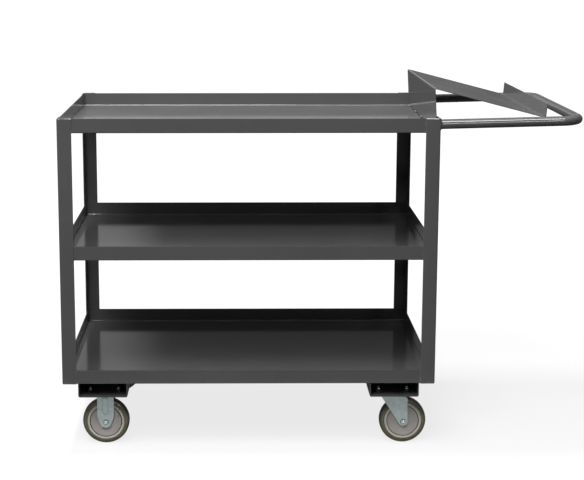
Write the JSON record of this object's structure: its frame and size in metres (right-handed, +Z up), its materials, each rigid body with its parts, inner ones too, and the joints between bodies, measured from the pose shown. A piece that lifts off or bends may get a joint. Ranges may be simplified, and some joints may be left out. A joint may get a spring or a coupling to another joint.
{
  "type": "order picking trolley",
  "caption": "Welded steel order picking trolley with lipped tray shelves, angle corner posts, a tube push handle, a sloping writing board, and fixed and swivel casters.",
  "frame": {"origin": "on the floor, at the middle of the whole trolley's bounding box, handle included", "axes": "+X towards the push handle, +Z up, -Y the long side that the picture shows"},
  "size_m": [1.3716, 0.6096, 0.9792],
  "materials": {
    "grey_powder_coat": "fine textured grey powder coat, satin",
    "channel_paint": "dark powder coat, satin, in shadow",
    "zinc_plate": "bright zinc plating with a pale blue-green cast",
    "bearing_steel": "ground bearing steel",
    "wheel_plastic": "moulded warm grey plastic",
    "tread_rubber": "smooth olive-grey rubber, slightly glossy"
  },
  "bodies": {
    "frame": {"bottom_shelf": "grey_powder_coat", "middle_shelf": "grey_powder_coat", "top_shelf": "grey_powder_coat", "corner_post_plain_end_front": "grey_powder_coat", "corner_post_plain_end_rear": "grey_powder_coat", "corner_post_handle_end_front": "grey_powder_coat", "corner_post_handle_end_rear": "grey_powder_coat", "caster_channel_plain_end": "channel_paint", "caster_channel_handle_end": "channel_paint", "push_handle": "grey_powder_coat", "writing_board": "grey_powder_coat", "rigid_front_fork": "zinc_plate", "rigid_front_axle_bolt": "zinc_plate", "rigid_front_axle_nut": "zinc_plate", "rigid_front_axle_bush": "zinc_plate", "rigid_front_mount_bolt_1": "zinc_plate", "rigid_front_mount_bolt_2": "zinc_plate", "rigid_front_mount_bolt_3": "zinc_plate", "rigid_front_mount_bolt_4": "zinc_plate", "swivel_front_top_plate": "zinc_plate", "swivel_front_kingpin": "zinc_plate", "swivel_front_ball_race": "bearing_steel", "swivel_front_mount_bolt_1": "zinc_plate", "swivel_front_mount_bolt_2": "zinc_plate", "swivel_front_mount_bolt_3": "zinc_plate", "swivel_front_mount_bolt_4": "zinc_plate", "rigid_rear_fork": "zinc_plate", "rigid_rear_axle_bolt": "zinc_plate", "rigid_rear_axle_nut": "zinc_plate", "rigid_rear_axle_bush": "zinc_plate", "rigid_rear_mount_bolt_1": "zinc_plate", "rigid_rear_mount_bolt_2": "zinc_plate", "rigid_rear_mount_bolt_3": "zinc_plate", "rigid_rear_mount_bolt_4": "zinc_plate", "swivel_rear_top_plate": "zinc_plate", "swivel_rear_kingpin": "zinc_plate", "swivel_rear_ball_race": "bearing_steel", "swivel_rear_mount_bolt_1": "zinc_plate", "swivel_rear_mount_bolt_2": "zinc_plate", "swivel_rear_mount_bolt_3": "zinc_plate", "swivel_rear_mount_bolt_4": "zinc_plate"},
    "rigid_front_wheel": {"rigid_front_wheel_core": "wheel_plastic", "rigid_front_wheel_tread": "tread_rubber"},
    "swivel_front_fork": {"swivel_front_fork": "zinc_plate", "swivel_front_axle_bolt": "zinc_plate", "swivel_front_axle_nut": "zinc_plate", "swivel_front_axle_bush": "zinc_plate"},
    "swivel_front_wheel": {"swivel_front_wheel_core": "wheel_plastic", "swivel_front_wheel_tread": "tread_rubber"},
    "rigid_rear_wheel": {"rigid_rear_wheel_core": "wheel_plastic", "rigid_rear_wheel_tread": "tread_rubber"},
    "swivel_rear_fork": {"swivel_rear_fork": "zinc_plate", "swivel_rear_axle_bolt": "zinc_plate", "swivel_rear_axle_nut": "zinc_plate", "swivel_rear_axle_bush": "zinc_plate"},
    "swivel_rear_wheel": {"swivel_rear_wheel_core": "wheel_plastic", "swivel_rear_wheel_tread": "tread_rubber"}
  },
  "joints": [
    {"name": "rigid_front_wheel_spin", "type": "hinge", "parent": "frame", "child": "rigid_front_wheel", "pos_m": [-0.5793, -0.2148, 0.0635], "axis": [0, 1, 0], "continuous": true},
    {"name": "swivel_front_turn", "type": "hinge", "parent": "frame", "child": "swivel_front_fork", "pos_m": [0.1983, -0.2148, 0.1404], "axis": [0, 0, 1], "continuous": true},
    {"name": "swivel_front_wheel_spin", "type": "hinge", "parent": "swivel_front_fork", "child": "swivel_front_wheel", "pos_m": [0.2313, -0.2148, 0.0635], "axis": [0, 1, 0], "continuous": true},
    {"name": "rigid_rear_wheel_spin", "type": "hinge", "parent": "frame", "child": "rigid_rear_wheel", "pos_m": [-0.5793, 0.2148, 0.0635], "axis": [0, 1, 0], "continuous": true},
    {"name": "swivel_rear_turn", "type": "hinge", "parent": "frame", "child": "swivel_rear_fork", "pos_m": [0.1983, 0.2148, 0.1404], "axis": [0, 0, 1], "continuous": true},
    {"name": "swivel_rear_wheel_spin", "type": "hinge", "parent": "swivel_rear_fork", "child": "swivel_rear_wheel", "pos_m": [0.2313, 0.2148, 0.0635], "axis": [0, 1, 0], "continuous": true}
  ]
}
